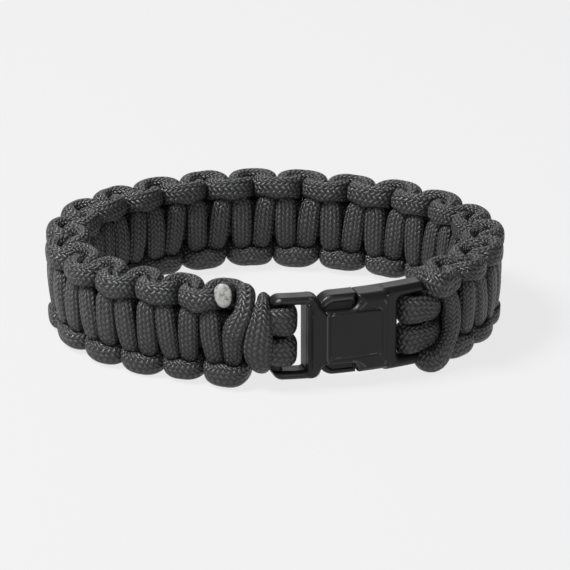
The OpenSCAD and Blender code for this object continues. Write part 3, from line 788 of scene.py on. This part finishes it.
def prong(x, out, up):
    high = abs(up)
    outer = block(x, up + PRONG_FRAME_DROP, -frame_end, SHOULDER_END, PRONG_FRAME_H, r=1.9)
    outline = merged(outer, block(x, up, PAST_MOUTH, NECK_END, WAIST_H, r=0.1), r=1.3)
    slot = block(x, up, -PAST_ENDS, -slot_edge, SLOT_H, r=0.8)
    form = corner(np.maximum(outline, -slot), abs(out) - FRAME_T / 2, r=FRAME_ROUND)
    stepped = outline + BODY_STEP * np.clip(high - BODY_STEP_UP, 0, 1)
    thick = np.maximum(stepped, -slot_edge + BODY_START - x)
    form = merged(form, corner(thick, abs(out) - BODY_T / 2 + BODY_SHY, edge_radius(high)), r=0.5)
    rib = block(x, up, -slot_edge + RIB[0], -slot_edge + RIB[1], RIB_H, r=0.25)
    form = merged(form, corner(rib, abs(out) - FRAME_T / 2 - RIB_RISE, r=0.2), r=0.25)
    pad = block(x, up - PAD_RISE, PAD_START, PAST_WINDOW, PAD_H, r=3.0)
    pad = np.maximum(np.maximum(pad, x - WINDOW_END + PAD_GAP), WAIST_H / 2 + PAD_GAP - high)
    pad = corner(pad, abs(out) - BODY_T / 2 + PAD_SINK, r=0.8)
    dish = block(x, up, DISH_START, PAST_WINDOW, DISH_H, r=2.2)
    dish = np.maximum(np.maximum(dish, x - WINDOW_END + DISH_SIDE), WAIST_H / 2 + DISH_FOOT - high)
    dish = corner(dish, DISH_FLOOR - abs(out), r=0.2)
    form = np.minimum(form, without(pad, dish, r=0.35))
    arm_height = abs(high - WAIST_H / 2 + ARM_SINK) - ARM_T / 2
    arm_length = abs(x - (ARM_START + arm_end) / 2) - (arm_end - ARM_START) / 2
    spine = np.maximum(high - RIM, abs(x - SPINE_MIDDLE) - SPINE_HALF)
    inner = np.minimum(np.maximum(arm_height, arm_length), spine)
    form = np.minimum(form, corner(inner, abs(out) - INSIDE_HALF_T, r=0.1))
    return np.minimum(form, np.maximum(np.hypot(x + bar_x, out) - BAR_D / 2, high - PRONG_BAR_H / 2))


# The half that takes the prong: a hollow housing with two side windows, a lip at its end, a
# raised panel in a groove, and a frame with a slot and a bar
HOUSING_RISE = 0.12
WINDOW_SPARE = 0.1
LIP_L = 0.85
LIP_H = HOUSING_H - 1.0
LIP_RISE = 0.12
PANEL = (MOUTH + 0.9, MOUTH + 11.35)
PANEL_H = 9.3
PANEL_UP = 0.45
PANEL_RISE = 0.25
GROOVE_AWAY = 0.18
GROOVE_HALF = 0.12
GROOVE_DEEP = 0.14
SOCKET_FRAME_START = 6
SOCKET_FRAME_H = HOUSING_H + 1.1
SOCKET_FRAME_DROP = 0.05
SOCKET_SLOT_START = 0.5
SOCKET_SLOT_H = SLOT_H - 1.0
SOCKET_BAR_H = SLOT_H + 1.8
CAVITY_H = HOUSING_H - 2.6
CAVITY_HALF_T = 1.9


def socket(x, out, up):
    high = abs(up)
    window = corner(x - WINDOW_END - WINDOW_SPARE, WAIST_H / 2 - high, r=1.9)
    housing = block(x, up - HOUSING_RISE, MOUTH, housing_end, HOUSING_H + 2 * HOUSING_RISE, r=0.9)
    form = corner(without(housing, window, r=0.3), abs(out) - BODY_T / 2, edge_radius(high))
    lip = block(x, up - HOUSING_RISE, housing_end - LIP_L, housing_end, LIP_H, r=0.3)
    form = merged(form, corner(lip, abs(out) - BODY_T / 2 - LIP_RISE, r=0.2), r=0.1)
    panel = block(x, up - PANEL_UP, *PANEL, PANEL_H, r=0.95)
    groove = corner(abs(panel - GROOVE_AWAY) - GROOVE_HALF, abs(out - BODY_T / 2) - GROOVE_DEEP, r=0.05)
    form = without(form, groove, r=0.1)
    form = np.minimum(form, corner(panel, abs(out - BODY_T / 2) - PANEL_RISE, r=0.2))
    outer = block(x, up + SOCKET_FRAME_DROP, SOCKET_FRAME_START, frame_end, SOCKET_FRAME_H, r=1.3)
    slot_start = slot_edge + SOCKET_SLOT_START
    slot = block(x, up + SOCKET_FRAME_DROP, slot_start, PAST_ENDS, SOCKET_SLOT_H, r=1.0)
    form = merged(form, corner(without(outer, slot), abs(out) - FRAME_T / 2, r=FRAME_ROUND), r=0.3)
    cavity = block(x, up, PAST_MOUTH, cavity_end, CAVITY_H, r=0.3)
    form = without(form, corner(cavity, abs(out) - CAVITY_HALF_T, r=0.2))
    return np.minimum(form, np.maximum(np.hypot(x - bar_x, out) - BAR_D / 2, high - SOCKET_BAR_H / 2))


# Each half is meshed on a grid of small cubes that reaches past it on every side
CELL = 0.15
GRID_OUT = (-3.9, 3.9)
GRID_UP = (-9.0, 9.15)
GRID_MARGIN = 0.3
PULLS = 4
PULL = 0.9
SLOPE_STEP = 0.01
LEAST_SLOPE = 0.2
CELL_REACH = 0.6


def moulding(name, form, start, end):
    """Meshes a form: a corner in each cube that its surface crosses, pulled on to the surface."""
    axes = [np.arange(low, high, CELL) for low, high in ((start, end), GRID_OUT, GRID_UP)]
    inside = form(*np.meshgrid(*axes, indexing="ij")) < 0
    sides = [slice(None, -1), slice(1, None)]
    filled = sum(inside[a, b, c].astype(int) for a in sides for b in sides for c in sides)
    cubes = np.argwhere((filled > 0) & (filled < 8))
    number = np.zeros(filled.shape, int)
    number[tuple(cubes.T)] = np.arange(len(cubes))
    points = np.array([axis[0] for axis in axes]) + (cubes + 0.5) * CELL
    middles = points.copy()
    for _ in range(PULLS):
        here = form(*points.T)
        steps = [form(*(points + SLOPE_STEP * np.eye(3)[k]).T) - here for k in range(3)]
        slope = np.stack(steps, 1) / SLOPE_STEP
        points = points - PULL * slope * (here / np.maximum((slope ** 2).sum(1), LEAST_SLOPE))[:, None]
        points = np.clip(points, middles - CELL_REACH * CELL, middles + CELL_REACH * CELL)
    quads = []
    for axis in range(3):
        aside, above = (np.eye(3, dtype=int)[(axis + k) % 3] for k in (1, 2))
        low = [slice(None, -1) if k == axis else slice(None) for k in range(3)]
        high = [slice(1, None) if k == axis else slice(None) for k in range(3)]
        leaves = inside[tuple(low)].astype(int) - inside[tuple(high)].astype(int)
        for way in (1, -1):
            at = np.argwhere(leaves == way)
            ring = [number[tuple((at - back).T)] for back in (aside + above, above, 0 * above, aside)]
            quads.append(np.stack(ring[::way], 1))
    return show(name, in_buckle(points), np.vstack(quads), acetal)


prong_half = moulding("buckle_prong_moulding", prong, -frame_end - GRID_MARGIN, cavity_end)
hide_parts("buckle_prong")
socket_half = moulding("buckle_socket_moulding", socket, MOUTH - 0.4, frame_end + GRID_MARGIN)
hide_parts("buckle_socket")
